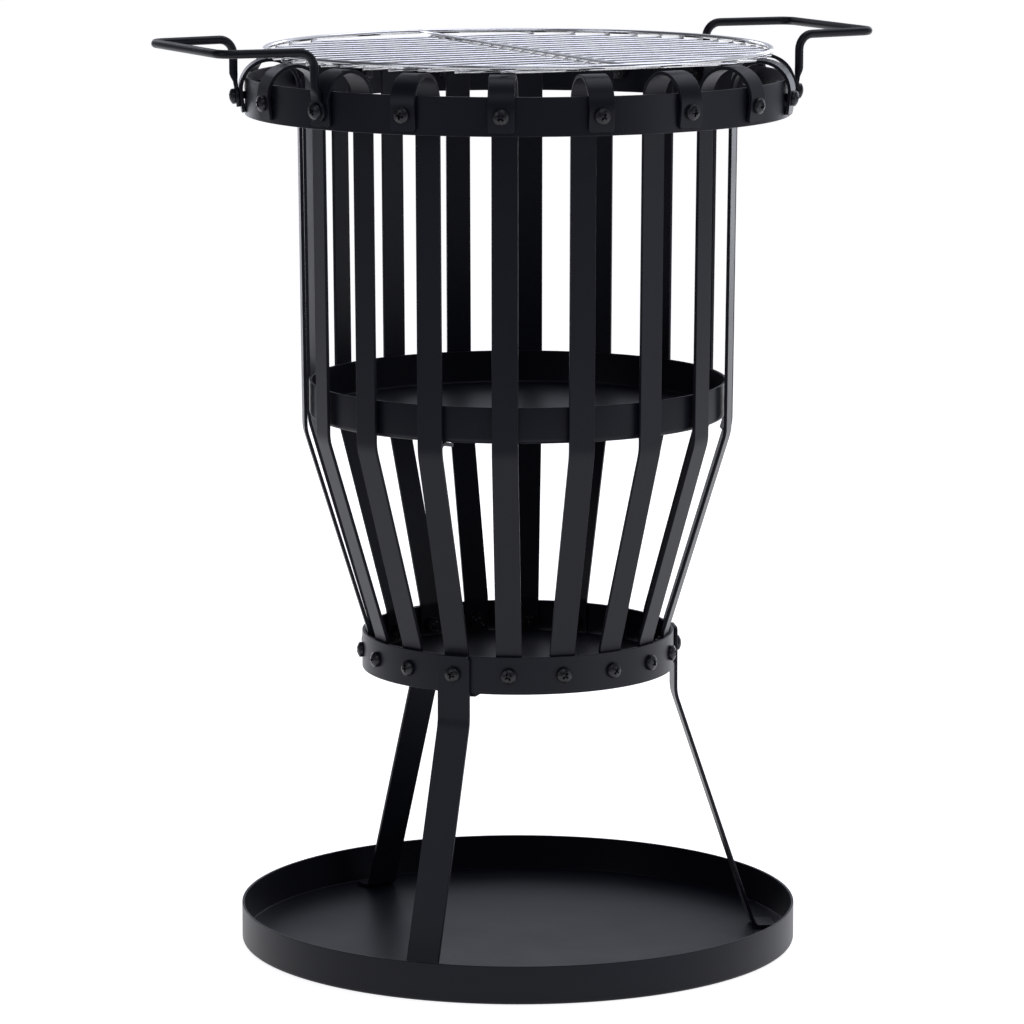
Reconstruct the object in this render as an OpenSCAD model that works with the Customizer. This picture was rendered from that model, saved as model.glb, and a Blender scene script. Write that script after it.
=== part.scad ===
// Round garden fire pit: a strip-steel fire basket on three legs, standing
// loose in an ash tray, with a lift-out fire dish and a lift-off wire grate.
// Origin: centre of the tray's underside. +Z is up, the handles are on +X and -X.

/* [Ash tray] */
// Outer diameter of the ash tray
tray_d = 330; // [326:1:350]
// Height of the ash tray's wall
tray_h = 22.5; // [15:0.5:30]
// Sheet thickness of the tray, the fire dish and the floor plate
sheet_t = 1.5; // [1:0.1:1.6]

/* [Basket rings] */
// Height of both ring bands
ring_h = 22; // [20:0.5:24]
// Thickness of both ring bands
ring_t = 2; // [1.5:0.1:2]
// Outer diameter of the lower ring
low_ring_d = 185; // [180:1:190]
// Height of the lower ring's bottom edge
low_ring_z = 165; // [160:1:170]
// Outer diameter of the top ring
top_ring_d = 319; // [315:1:321]
// Height of the top ring's bottom edge
top_ring_z = 493.5; // [492:0.5:494]

/* [Strips] */
// Width of a basket strip
strip_w = 15; // [12:0.5:16]
// Thickness of a basket strip
strip_t = 2; // [1.5:0.1:2]
// Height where the flared part of a strip turns upright
knee_z = 309; // [306:1:312]
// Centre-line radius of a strip at that height
knee_r = 125.9; // [125:0.1:127]
// Centre-line radius of a strip where its hook begins
neck_r = 127.9; // [127:0.1:129]
// Height of the top of the hooks, where the grate rests
hook_top = 527; // [526.5:0.1:530]

/* [Legs] */
// Width of a leg
leg_w = 20; // [16:1:24]
// Thickness of a leg
leg_t = 2; // [1.5:0.1:2.5]
// Height where a leg turns from upright to splayed
leg_knee_z = 147; // [140:1:155]
// Centre-line radius where a leg meets its foot tab
foot_r = 142.3; // [135:0.1:145]
// Length of the foot tab, outward from there
foot_len = 13.2; // [10:0.1:15]

/* [Fire dish] */
// Outer diameter of the fire dish
dish_d = 246; // [240:1:247]
// Height of the fire dish's wall
dish_h = 21; // [15:0.5:28]
// Height of the ledges that carry the dish
ledge_z = 315.5; // [314:0.5:318]
// Width of a ledge
ledge_w = 12; // [10:1:15]
// Slope of a ledge, down towards the middle
ledge_slope = 12; // [0:1:15]

/* [Grate] */
// Outer diameter of the grate
grate_d = 298; // [294:1:304]
// Diameter of the rim wire and of the cross wire
rim_wire_d = 2.8; // [2.4:0.1:3.2]
// Diameter of a grate bar
bar_d = 2.2; // [1.8:0.1:2.6]
// Distance between the centres of two bars
bar_pitch = 15; // [12:0.5:16]
// Number of bars on each side of the middle
bars_per_side = 9; // [6:1:9]
// Turn of the loose grate on its hooks
grate_turn = 0; // [-180:1:180]
// Turn of the cross wire away from square to the bars
cross_turn = -2.5; // [-5:0.5:5]

/* [Handles] */
// Wire diameter of a handle
handle_wire_d = 5; // [4:0.5:6]
// Height of the handle wire's centre line at the grip
handle_z = 537.5; // [534:0.5:550]
// Distance of the grip bar's centre line from the middle axis
grip_r = 210; // [200:1:230]
// Half of the distance between the grip's two corners
grip_half = 50.5; // [45:0.5:54]
// Centre-line radius of the handle's bends
handle_bend_r = 9; // [7:0.5:10]

/* [Fasteners] */
// Diameter of the screws
screw_d = 5; // [4:0.5:5]
// Diameter of a pan head
head_d = 9; // [8:0.5:10]
// Height of a pan head
head_h = 3.5; // [2.5:0.1:4]
// Size of a nut across its flats
nut_flats = 8; // [7:0.1:8]
// Height of a nut
nut_h = 4; // [3:0.1:4]

/* [Hidden] */
STRIP_COUNT = 18;
PITCH = 360 / STRIP_COUNT;
FIRST_ANGLE = -90;
LEG_STRIPS = [3, 9, 15];
LEG_NAMES = ["front", "right", "back"];
HANDLE_STRIPS = [18, 2, 9, 11];
BEND_STEP = 5;

fit_gap = 0.3;                // between pieces that lift off each other
seat_gap = 0.05;              // between pieces that are screwed together
weld_gap = 0.2;               // behind a ledge, where its strip begins to bend
hole_d = screw_d + 0.6;

low_r = low_ring_d / 2;
top_r = top_ring_d / 2;
low_screw_z = low_ring_z + ring_h / 2;
top_screw_z = top_ring_z + ring_h / 2 + 0.5;

// A flat strip inside the round lower ring touches it only with its edges.
strip_face_r = sqrt(pow(low_r - ring_t, 2) - pow(strip_w / 2, 2)) - seat_gap;
strip_low_r = strip_face_r - strip_t / 2;
floor_ledge = 8;
tab_bend_r = 3;
strip_foot_z = low_ring_z + 1 + strip_t / 2;
flare_z = low_ring_z + ring_h + 2;

// The hook stands a little off the top ring and leans back to touch it.
hook_stand_off = 1.6;
hook_lean = 7;
hook_r = (top_r + hook_stand_off + strip_t / 2 - neck_r) / 2;
hook_mid_r = neck_r + hook_r;
spring_z = hook_top - strip_t / 2 - hook_r;
tip_top_r = hook_mid_r + hook_r * cos(hook_lean);
tip_top_z = spring_z - hook_r * sin(hook_lean);
tip_len = (tip_top_z - top_ring_z - 2) / cos(hook_lean);
top_screw_r = tip_top_r - (tip_top_z - top_screw_z) * tan(hook_lean);

strip_points = [
    [strip_low_r - floor_ledge, strip_foot_z],
    [strip_low_r, strip_foot_z],
    [strip_low_r, flare_z],
    [knee_r, knee_z],
    [neck_r, spring_z]
];
strip_radii = [0, tab_bend_r, 12, 25];

leg_r = low_r + seat_gap + leg_t / 2;
leg_foot_z = sheet_t + fit_gap + leg_t / 2;
leg_top_z = low_ring_z + ring_h;
leg_points = [
    [foot_r + foot_len, leg_foot_z],
    [foot_r, leg_foot_z],
    [leg_r, leg_knee_z],
    [leg_r, leg_top_z]
];
leg_radii = [0, 4, 25];

flare_angle = atan2(knee_r - strip_low_r, knee_z - flare_z);
ledge_bend_r = 5;
ledge_reach = 20;
// The bend's highest point carries the dish, so its corner lies above that.
ledge_turn = 90 + ledge_slope + flare_angle;
ledge_rise = ledge_bend_r * (tan(ledge_turn / 2) * cos(flare_angle) - sin(flare_angle) - 1);
ledge_corner_z = ledge_z - strip_t / 2 + ledge_rise;
ledge_start_z = ledge_corner_z - 12;
ledge_points = [
    [ledge_line_r(ledge_start_z), ledge_start_z],
    [ledge_line_r(ledge_corner_z), ledge_corner_z],
    [ledge_line_r(ledge_corner_z) - ledge_reach, ledge_corner_z - ledge_reach * tan(ledge_slope)]
];
ledge_radii = [0, ledge_bend_r];

dish_z = ledge_z + fit_gap;
floor_plate_r = strip_low_r - tab_bend_r - 0.2;
floor_plate_z = strip_foot_z + strip_t / 2;

bar_z = hook_top + fit_gap + bar_d / 2;
rim_z = bar_z + bar_d / 2 + rim_wire_d / 2;
rim_r = (grate_d - rim_wire_d) / 2;

eye_t = 2.5;
eye_d = 12.5;
upright_r = top_screw_r + strip_t / 2 + handle_wire_d / 2 + 0.9;
upright_x = upright_r * cos(PITCH);
upright_y = upright_r * sin(PITCH);
upright_z = top_screw_z + head_d / 2 + 0.9;
arm_angle = atan2(grip_half - upright_y, grip_r - upright_x);

$fn = 96;

// ---------- names and places ----------

function strip_name(i) = str("strip_", i < 10 ? "0" : "", i);
function strip_angle(i) = FIRST_ANGLE + PITCH * (i - 1);
function is_leg_strip(i) = len(search(i, LEG_STRIPS)) > 0;
function is_handle_strip(i) = len(search(i, HANDLE_STRIPS)) > 0;
function ledge_line_r(z) =
    strip_low_r + (z - flare_z) * tan(flare_angle) - (strip_t + weld_gap) / cos(flare_angle);

// Turns +X outward at an angle that is counted from -Y towards +X.
module at_angle(angle) {
    rotate([0, 0, angle - 90]) children();
}

module at_strip(i) {
    at_angle(strip_angle(i)) children();
}

// ---------- bent flat bar ----------
// A bar's centre line is a list of stations [radius, height, heading], where the
// heading is counted from +Z outward. A bend is a fan of closely spaced stations.

function heading(p, q) = atan2(q[0] - p[0], q[1] - p[1]);
function side_of(h) = [cos(h), -sin(h)];
function along(h) = [sin(h), cos(h)];
function station(p, h) = [p[0], p[1], h];
function arc_stations(start, h0, h1, r) =
    let (s = sign(h1 - h0), n = ceil(abs(h1 - h0) / BEND_STEP), centre = start + s * r * side_of(h0))
        [for (k = [0 : n]) let (h = h0 + (h1 - h0) * k / n) station(centre - s * r * side_of(h), h)];
function corner_stations(p, q, r, next) =
    let (h0 = heading(p, q), h1 = heading(q, next))
        arc_stations(q - r * tan(abs(h1 - h0) / 2) * along(h0), h0, h1, r);
function bar_stations(pts, radii) = concat(
    [station(pts[0], heading(pts[0], pts[1]))],
    [for (i = [1 : len(pts) - 2]) each corner_stations(pts[i - 1], pts[i], radii[i], pts[i + 1])]
);
function bar_side(stations, offset) =
    [for (q = stations) [q[0], q[1]] + offset * side_of(q[2])];
function reversed(list) = [for (i = [len(list) - 1 : -1 : 0]) list[i]];

module flat_bar(stations, width, thick) {
    rotate([90, 0, 0]) linear_extrude(width, center = true)
        polygon(concat(bar_side(stations, thick / 2), reversed(bar_side(stations, -thick / 2))));
}

// Cuts the two corners off the end of a bar that stops at the given station.
module corner_cuts(end, width, thick, corner_r) {
    translate([end[0], 0, end[1]]) rotate([0, end[2], 0])
        for (s = [0, 1])
            mirror([0, s, 0]) translate([0, width / 2 - corner_r, -corner_r])
                rotate([90, 0, 90]) linear_extrude(thick + 2, center = true) difference() {
                    square(corner_r + 2);
                    circle(1.02 * corner_r, $fn = 32);
                }
}

// ---------- bent wire ----------
// A wire is a list of moves that start along +Z: [length] goes straight, and
// [radius, angle, roll] rolls about the wire and then bends towards its +X.
// A bend is a hair fuller than the wire, whose straight ends sit inside it.

module wire_run(moves, wire_d, i = 0) {
    move = moves[i];
    inner = 0.25;
    if (len(move) == 1) {
        start = i == 0 ? 0 : inner;
        end = i == len(moves) - 1 ? 0 : inner;
        translate([0, 0, -start]) cylinder(d = wire_d, h = move[0] + start + end, $fn = 32);
        if (i < len(moves) - 1)
            translate([0, 0, move[0]]) wire_run(moves, wire_d, i + 1);
    } else {
        rotate([0, 0, move[2]]) {
            translate([move[0], 0, 0]) mirror([1, 0, 0]) rotate([90, 0, 0])
                rotate_extrude(angle = move[1])
                    translate([move[0], 0]) circle(d = wire_d + 0.04, $fn = 32);
            translate([move[0] * (1 - cos(move[1])), 0, move[0] * sin(move[1])])
                rotate([0, move[1], 0]) wire_run(moves, wire_d, i + 1);
        }
    }
}

// ---------- pressed pan and ring band ----------

module pan(radius, height, thick, corner_r) {
    rotate_extrude() {
        square([radius - corner_r, thick]);
        translate([radius - thick, corner_r]) square([thick, height - corner_r]);
        translate([radius - corner_r, corner_r]) intersection() {
            difference() {
                circle(corner_r, $fn = 32);
                circle(corner_r - thick, $fn = 32);
            }
            translate([0, -corner_r]) square(corner_r);
        }
    }
}

module band(outer_r, bottom_z) {
    translate([0, 0, bottom_z]) difference() {
        cylinder(r = outer_r, h = ring_h);
        translate([0, 0, -1]) cylinder(r = outer_r - ring_t, h = ring_h + 2);
    }
}

// ---------- fasteners ----------
// A fastener stands on z = 0 with its head above and its shank below.

module pan_screw(length) {
    dome = head_h * 0.45;
    dome_r = (pow(head_d / 2, 2) + pow(dome, 2)) / (2 * dome);
    translate([0, 0, -length]) cylinder(d = screw_d, h = length, $fn = 32);
    difference() {
        intersection() {
            cylinder(d = head_d, h = head_h, $fn = 48);
            translate([0, 0, head_h - dome_r]) sphere(dome_r, $fn = 96);
        }
        for (a = [0, 90])
            rotate([0, 0, a]) translate([-2.4, -0.55, head_h - 1.7]) cube([4.8, 1.1, 3]);
    }
}

module hex_nut() {
    difference() {
        cylinder(d = nut_flats / cos(30), h = nut_h, $fn = 6);
        translate([0, 0, -1]) cylinder(d = screw_d + 0.2, h = nut_h + 2, $fn = 32);
    }
}

// Points +Z outward at a screw of the lower ring, from the given radius.
module low_screw_place(i, radius) {
    at_strip(i) translate([radius, 0, low_screw_z]) rotate([0, 90, 0]) children();
}

// Points +Z outward at a screw of the top ring, on the tilted hook tip.
module top_screw_place(i, lift) {
    at_strip(i) translate([top_screw_r, 0, top_screw_z]) rotate([0, 90 + hook_lean, 0])
        translate([0, 0, lift]) children();
}

// ---------- pieces ----------

module ash_tray() {
    color("#2b2c2f") pan(tray_d / 2, tray_h, sheet_t, 2);
}

module lower_ring() {
    color("#28292c") difference() {
        band(low_r, low_ring_z);
        for (i = [1 : STRIP_COUNT])
            low_screw_place(i, low_r - ring_t - 1)
                cylinder(d = hole_d, h = ring_t + 2, $fn = 32);
    }
}

// The inner end of the lower ring's band, which hangs a little low beside the front leg.
module lower_ring_lap() {
    lap_angle = 4.6;
    lap_drop = 2.2;
    clip_long = 3.4;
    clip_angle = atan2(lap_drop, clip_long);
    color("#28292c") at_angle(strip_angle(LEG_STRIPS[0]) + 5.1) difference() {
        rotate_extrude(angle = lap_angle)
            translate([low_r - 2 * ring_t - seat_gap, low_ring_z - lap_drop])
                square([ring_t, ring_h + lap_drop - 1]);
        rotate([0, 0, lap_angle]) translate([low_r - ring_t, 0, low_ring_z - lap_drop])
            rotate([clip_angle, 0, 0])
                cube([4 * ring_t, 3 * clip_long, 2 * clip_long * sin(clip_angle)], center = true);
    }
}

module floor_plate() {
    color("#242528") translate([0, 0, floor_plate_z])
        cylinder(r = floor_plate_r, h = sheet_t);
}

module top_ring() {
    hole_depth = top_screw_r - top_r + ring_t + 1;
    color("#28292c") difference() {
        band(top_r, top_ring_z);
        for (i = [1 : STRIP_COUNT])
            top_screw_place(i, -hole_depth) cylinder(d = hole_d, h = hole_depth, $fn = 32);
    }
}

module strip(i) {
    neck_heading = heading(strip_points[3], strip_points[4]);
    hook = arc_stations(strip_points[4], neck_heading, 180 + hook_lean, hook_r);
    lip = hook[len(hook) - 1];
    tip = station([lip[0], lip[1]] + tip_len * along(lip[2]), lip[2]);
    color("#2e2f33") at_strip(i) difference() {
        flat_bar(concat(bar_stations(strip_points, strip_radii), hook, [tip]), strip_w, strip_t);
        corner_cuts(tip, strip_w, strip_t, 3);
        translate([strip_face_r - strip_t - 1, 0, low_screw_z]) rotate([0, 90, 0])
            cylinder(d = hole_d, h = strip_t + 2, $fn = 32);
        translate([top_screw_r, 0, top_screw_z]) rotate([0, 90 + hook_lean, 0])
            translate([0, 0, -strip_t]) cylinder(d = hole_d, h = 2 * strip_t, $fn = 32);
    }
}

module leg(i) {
    top = station(leg_points[3], 0);
    foot = station(leg_points[0], 90);
    color("#2e2f33") at_strip(i) difference() {
        flat_bar(concat(bar_stations(leg_points, leg_radii), [top]), leg_w, leg_t);
        corner_cuts(top, leg_w, leg_t, 3);
        corner_cuts(foot, leg_w, leg_t, 3);
        translate([low_r - 1, 0, low_screw_z]) rotate([0, 90, 0])
            cylinder(d = hole_d, h = leg_t + 2, $fn = 32);
    }
}

module dish_ledge(i) {
    end = station(ledge_points[2], heading(ledge_points[1], ledge_points[2]));
    color("#2e2f33") at_strip(i) difference() {
        flat_bar(concat(bar_stations(ledge_points, ledge_radii), [end]), ledge_w, strip_t);
        corner_cuts(end, ledge_w, strip_t, 1.5);
    }
}

module fire_dish() {
    color("#26272a") translate([0, 0, dish_z]) pan(dish_d / 2, dish_h, sheet_t, 3);
}

// One handle on the +X side: two flattened eyes and one bent wire.
module handle() {
    arm = norm([grip_r - upright_x, grip_half - upright_y]);
    corner_turn = 90 + arm_angle;
    corner_cut = handle_bend_r * tan(corner_turn / 2);
    upright = [handle_z - handle_bend_r - upright_z];
    reach = [arm - handle_bend_r - corner_cut];
    corner = [handle_bend_r, corner_turn, -90];
    translate([upright_x, upright_y, upright_z]) rotate([0, 0, arm_angle])
        wire_run([upright, [handle_bend_r, 90, 0], reach, corner, [2 * (grip_half - corner_cut)],
            [handle_bend_r, corner_turn, 0], reach, [handle_bend_r, 90, 90], upright],
            handle_wire_d);
    for (m = [0, 1]) mirror([0, m, 0]) handle_eye();
}

module handle_eye() {
    rotate([0, 0, PITCH]) translate([top_screw_r, 0, top_screw_z])
        rotate([0, 90 + hook_lean, 0]) translate([0, 0, strip_t / 2 + seat_gap])
            difference() {
                union() {
                    cylinder(d = eye_d, h = eye_t);
                    translate([-10, -3.2, 0]) cube([10, 6.4, eye_t]);
                }
                translate([0, 0, -1]) cylinder(d = hole_d, h = eye_t + 2, $fn = 32);
            }
}

module handle_right() {
    color("#2a2b2e") handle();
}

module handle_left() {
    color("#2a2b2e") rotate([0, 0, 180]) handle();
}

module grate_rim() {
    color("#c9ccd2") translate([0, 0, rim_z]) rotate_extrude()
        translate([rim_r, 0]) circle(d = rim_wire_d, $fn = 32);
}

module grate_bars() {
    color("#c9ccd2") rotate([0, 0, grate_turn])
        for (side = [-1, 1], k = [0 : bars_per_side - 1]) {
            y = side * (k + 0.5) * bar_pitch;
            half = sqrt(pow(rim_r, 2) - pow(y, 2)) + 0.4;
            translate([-half, y, bar_z]) rotate([0, 90, 0])
                cylinder(d = bar_d, h = 2 * half, $fn = 24);
        }
}

module grate_cross_wire() {
    half = rim_r - rim_wire_d / 2 - seat_gap;
    color("#c9ccd2") rotate([0, 0, grate_turn + cross_turn]) translate([0, half, rim_z])
        rotate([90, 0, 0]) cylinder(d = rim_wire_d, h = 2 * half, $fn = 32);
}

module lower_ring_screws() {
    color("#1d1d1f") for (i = [1 : STRIP_COUNT])
        if (!is_leg_strip(i)) low_screw_place(i, low_r + seat_gap) pan_screw(10);
}

module leg_screws() {
    color("#1d1d1f") for (i = LEG_STRIPS)
        low_screw_place(i, low_r + leg_t + 2 * seat_gap) pan_screw(12);
}

module lower_ring_nuts() {
    color("#1d1d1f") for (i = [1 : STRIP_COUNT])
        low_screw_place(i, strip_face_r - strip_t - nut_h - seat_gap) hex_nut();
}

module top_ring_screws() {
    color("#1d1d1f") for (i = [1 : STRIP_COUNT])
        if (!is_handle_strip(i)) top_screw_place(i, strip_t / 2 + seat_gap) pan_screw(12);
}

module handle_screws() {
    color("#1d1d1f") for (i = HANDLE_STRIPS)
        top_screw_place(i, strip_t / 2 + eye_t + 2 * seat_gap) pan_screw(14);
}

module top_ring_nuts() {
    nut_drop = top_screw_r - (top_r - ring_t) + nut_h + 0.9;
    color("#1d1d1f") for (i = [1 : STRIP_COUNT])
        top_screw_place(i, -nut_drop) hex_nut();
}

ash_tray();
lower_ring();
lower_ring_lap();
floor_plate();
top_ring();
for (k = [0 : 2])
    leg(LEG_STRIPS[k]);
for (i = [1 : STRIP_COUNT])
    strip(i);
for (k = [0 : 2])
    dish_ledge(LEG_STRIPS[k]);
fire_dish();
handle_left();
handle_right();
grate_rim();
grate_bars();
grate_cross_wire();
lower_ring_screws();
leg_screws();
lower_ring_nuts();
top_ring_screws();
handle_screws();
top_ring_nuts();
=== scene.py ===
# %% [markdown]
# # A strip-steel fire pit with a wire grate
# The object is a garden fire basket: eighteen flat bars are screwed to a small ring, flare
# outward, and hook over a large ring. It stands on three legs in an ash tray, holds a loose
# fire dish half way up, and carries a loose grate of plated wire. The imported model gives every
# piece its place, so this lesson only makes better looking pieces in those places.

# %% Load the frame
import math
import random

import bpy
from mathutils import Matrix, Vector


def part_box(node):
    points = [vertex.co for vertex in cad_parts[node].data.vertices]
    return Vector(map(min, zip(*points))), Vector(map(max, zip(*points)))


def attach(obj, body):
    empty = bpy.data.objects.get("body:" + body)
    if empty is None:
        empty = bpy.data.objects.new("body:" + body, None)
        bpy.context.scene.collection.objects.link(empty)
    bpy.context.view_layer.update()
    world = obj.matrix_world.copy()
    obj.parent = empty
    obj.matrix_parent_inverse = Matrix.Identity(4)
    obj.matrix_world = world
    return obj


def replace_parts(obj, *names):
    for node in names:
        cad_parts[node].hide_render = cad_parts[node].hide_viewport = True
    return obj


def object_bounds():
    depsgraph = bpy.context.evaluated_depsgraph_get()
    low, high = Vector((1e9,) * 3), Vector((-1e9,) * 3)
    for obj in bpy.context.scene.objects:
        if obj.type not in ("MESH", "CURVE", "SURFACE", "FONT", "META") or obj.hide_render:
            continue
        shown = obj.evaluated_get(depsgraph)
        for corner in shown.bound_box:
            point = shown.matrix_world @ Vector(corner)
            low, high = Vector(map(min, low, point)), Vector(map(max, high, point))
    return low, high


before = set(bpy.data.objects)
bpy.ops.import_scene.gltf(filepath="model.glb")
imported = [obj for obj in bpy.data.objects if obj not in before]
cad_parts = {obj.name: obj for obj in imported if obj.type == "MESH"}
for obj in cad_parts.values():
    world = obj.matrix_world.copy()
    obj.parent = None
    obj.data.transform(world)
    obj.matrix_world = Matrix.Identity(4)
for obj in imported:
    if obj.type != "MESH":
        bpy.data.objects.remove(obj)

cad_low, cad_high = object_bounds()
random.seed(18)
print("the model is", [round(side, 3) for side in cad_high - cad_low], "m")

# %% [markdown]
# ## Places round the axis
# Everything is arranged round one upright axis. A place is given by how far out it lies, how
# far to the side, and how high, at an angle counted from -Y towards +X. Two small functions
# turn that into a point, so that each bar can be drawn once, flat, and then turned round.

# %% Outward and sideways directions
MM = 0.001
UP = Vector((0, 0, 1))
BAR_COUNT = 18
BAR_PITCH = 360 / BAR_COUNT
FIRST_BAR = -90


def outward(degrees):
    angle = math.radians(degrees)
    return Vector((math.sin(angle), -math.cos(angle), 0))


def sideways(degrees):
    angle = math.radians(degrees)
    return Vector((math.cos(angle), math.sin(angle), 0))


def bar_angle(number):
    return FIRST_BAR + BAR_PITCH * (number - 1)


print("bars stand every", BAR_PITCH, "degrees, from", bar_angle(1), "to", bar_angle(BAR_COUNT))

# %% [markdown]
# ## The camera
# A long lens from three metres away keeps the bars nearly parallel.
# The camera stands a little above the grate and looks slightly down, so that the rings open
# into flat ellipses. It is turned so that one leg comes almost straight towards it.

# %% Camera
CAMERA_ANGLE = -26.6
CAMERA_DISTANCE = 2.968
CAMERA_HEIGHT = 0.7507
CAMERA_PITCH = 9.45
CAMERA_SHIFT = 3.5 * MM
SENSOR_WIDE = 36
LENS_LONG = 178.7

camera = bpy.data.objects.new("camera", bpy.data.cameras.new("camera"))
bpy.context.collection.objects.link(camera)
camera.data.sensor_width = SENSOR_WIDE
camera.data.lens = LENS_LONG
camera.location = (outward(CAMERA_ANGLE) * CAMERA_DISTANCE
                   - sideways(CAMERA_ANGLE) * CAMERA_SHIFT + UP * CAMERA_HEIGHT)
camera.rotation_euler = (math.radians(90 - CAMERA_PITCH), 0, math.radians(CAMERA_ANGLE))
bpy.context.scene.camera = camera
print("camera at", [round(x, 3) for x in camera.location])

# %% [markdown]
# ## Shader sums in plain Python
# A finish is a small sum of noises. Wiring such sums by hand takes a page, so one class wraps
# a socket and lets Python's own signs add the Math nodes. A second class holds a material and
# makes any other node: its settings go in first and then the values or links of its sockets.

# %% A socket that can be added and multiplied
class Value:
    def __init__(self, finish, socket):
        self.finish = finish
        self.socket = socket

    def sum(self, operation, first, second):
        return self.finish.node("ShaderNodeMath", {"operation": operation},
                                {0: first, 1: second})

    def __add__(self, other):
        return self.sum("ADD", self, other)

    def __radd__(self, other):
        return self.sum("ADD", other, self)

    def __sub__(self, other):
        return self.sum("SUBTRACT", self, other)

    def __mul__(self, other):
        return self.sum("MULTIPLY", self, other)


class Finish:
    def __init__(self, name):
        self.material = bpy.data.materials.new(name)
        self.material.use_nodes = True
        self.tree = self.material.node_tree
        self.shader = self.tree.nodes["Principled BSDF"]

    def put(self, socket, value):
        if isinstance(value, Value):
            self.tree.links.new(value.socket, socket)
        else:
            socket.default_value = value

    def node(self, kind, settings, values, output=0):
        made = self.tree.nodes.new(kind)
        for key, setting in settings.items():
            setattr(made, key, setting)
        for key, value in values.items():
            self.put(made.inputs[key], value)
        return Value(self, made.outputs[output])

    def place(self):
        return self.node("ShaderNodeTexCoord", {}, {}, "Object")

    def noise(self, place, scale, detail, roughness=0.5):
        return self.node("ShaderNodeTexNoise", {}, {"Vector": place, "Scale": scale,
                                                    "Detail": detail, "Roughness": roughness})

    def ramp(self, value, low, high):
        return self.node("ShaderNodeMapRange", {"interpolation_type": "SMOOTHSTEP"},
                         {"Value": value, "From Min": low, "From Max": high})

    def mix(self, mask, first, second):
        mixer = self.tree.nodes.new("ShaderNodeMix")
        mixer.data_type = "RGBA"
        self.put(mixer.inputs["Factor"], mask)
        self.put(mixer.inputs[6], first)
        self.put(mixer.inputs[7], second)
        return Value(self, mixer.outputs[2])

    def bump(self, height, strength, distance, under=None):
        values = {"Height": height, "Strength": strength, "Distance": distance}
        if under is not None:
            values["Normal"] = under
        return self.node("ShaderNodeBump", {}, values)

    def coat(self, **values):
        for name, value in values.items():
            self.put(self.shader.inputs[name.replace("_", " ")], value)
        return self.material


def grey(level, blue=1.0):
    return (level, level * (1 + (blue - 1) / 6), level * blue, 1)


print("shader helpers are ready")

# %% [markdown]
# ## Black heat-proof coating
# The steel is sprayed and baked black. Close up such a coat is not smooth: it flows into a
# fine orange peel about a millimetre wide, holds a still finer grain, and is a little thicker
# in some places. Two noises of those sizes drive a bump, and a slow noise drifts the
# shade and the roughness, so that broad flat bars don't look like plastic.

# %% Black coating for sheet, bar and wire
PEEL_SCALE = 900
GRAIN_SCALE = 5200
DRIFT_SCALE = 22
DUST_SCALE = 260


def black_coating(name, level, roughness, peel, shine):
    finish = Finish(name)
    place = finish.place()
    drift = finish.noise(place, DRIFT_SCALE, 4, 0.55)
    grain = finish.noise(place, GRAIN_SCALE, 2)
    orange_peel = finish.noise(place, PEEL_SCALE, 2, 0.4)
    dust = finish.ramp(finish.noise(place, DUST_SCALE, 5, 0.7), 0.66, 0.8)
    thick_and_thin = finish.mix(drift, grey(level * 0.8, 1.8), grey(level * 1.25, 1.9))
    shade = finish.mix(dust * 0.05, thick_and_thin, grey(level * 6))
    gloss = roughness - 0.07 + drift * 0.1 + grain * 0.05 + dust * 0.06
    relief = finish.bump(grain, 0.12, 0.02 * MM, finish.bump(orange_peel, peel, 0.05 * MM))
    return finish.coat(Base_Color=shade, Roughness=gloss, Normal=relief,
                       Specular_IOR_Level=shine)


black_sheet = black_coating("black_sheet", 0.0055, 0.38, 0.35, 0.16)
black_bar = black_coating("black_bar", 0.006, 0.38, 0.3, 0.22)
black_wire = black_coating("black_wire", 0.005, 0.36, 0.25, 0.22)
print("coatings:", black_sheet.name, black_bar.name, black_wire.name)

# %% [markdown]
# ## Black screws and bright wire
# The screws and nuts are plated, then blackened: a dark metal with a soft shine that is worn
# a little brighter in places. The grate is drawn wire with a bright plating. Plated wire keeps
# faint drawing marks and hazy patches where the welds were cleaned, so its roughness wanders.

# %% Blackened steel and bright plating
WEAR_SCALE = 700
HAZE_SCALE = 130
MARK_SCALE = 2600


def blackened_steel():
    finish = Finish("blackened_steel")
    place = finish.place()
    patch = finish.noise(place, WEAR_SCALE, 4, 0.6)
    grain = finish.noise(place, GRAIN_SCALE, 3)
    shade = finish.mix(finish.ramp(patch, 0.5, 0.75), grey(0.026, 1.1), grey(0.055, 1.05))
    return finish.coat(Base_Color=shade, Metallic=0.75, Roughness=0.26 + patch * 0.16,
                       Normal=finish.bump(grain, 0.15, 0.02 * MM))


def bright_plating():
    finish = Finish("bright_plating")
    place = finish.place()
    haze = finish.noise(place, HAZE_SCALE, 4, 0.6)
    marks = finish.noise(place, MARK_SCALE, 3, 0.6)
    shade = finish.mix(finish.ramp(haze, 0.45, 0.8), grey(0.86, 1.01), grey(0.7, 1.03))
    return finish.coat(Base_Color=shade, Metallic=1.0,
                       Roughness=0.1 + haze * 0.14 + marks * 0.05,
                       Normal=finish.bump(marks, 0.08, 0.02 * MM))


blackened = blackened_steel()
plating = bright_plating()
print("metals:", blackened.name, plating.name)

# %% [markdown]
# ## From points to a piece
# Every piece is made the same way: a list of points and faces becomes a mesh, its edges get a
# narrow Bevel, and it rides on its body and stands for its plain node. The bevel matters more
# than it seems, because a sheared or sprayed edge is never perfectly sharp, and that thin line
# of light along each edge is what shows how thick the steel is.

# %% Make a piece
SHARP_ANGLE = math.radians(40)


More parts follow.
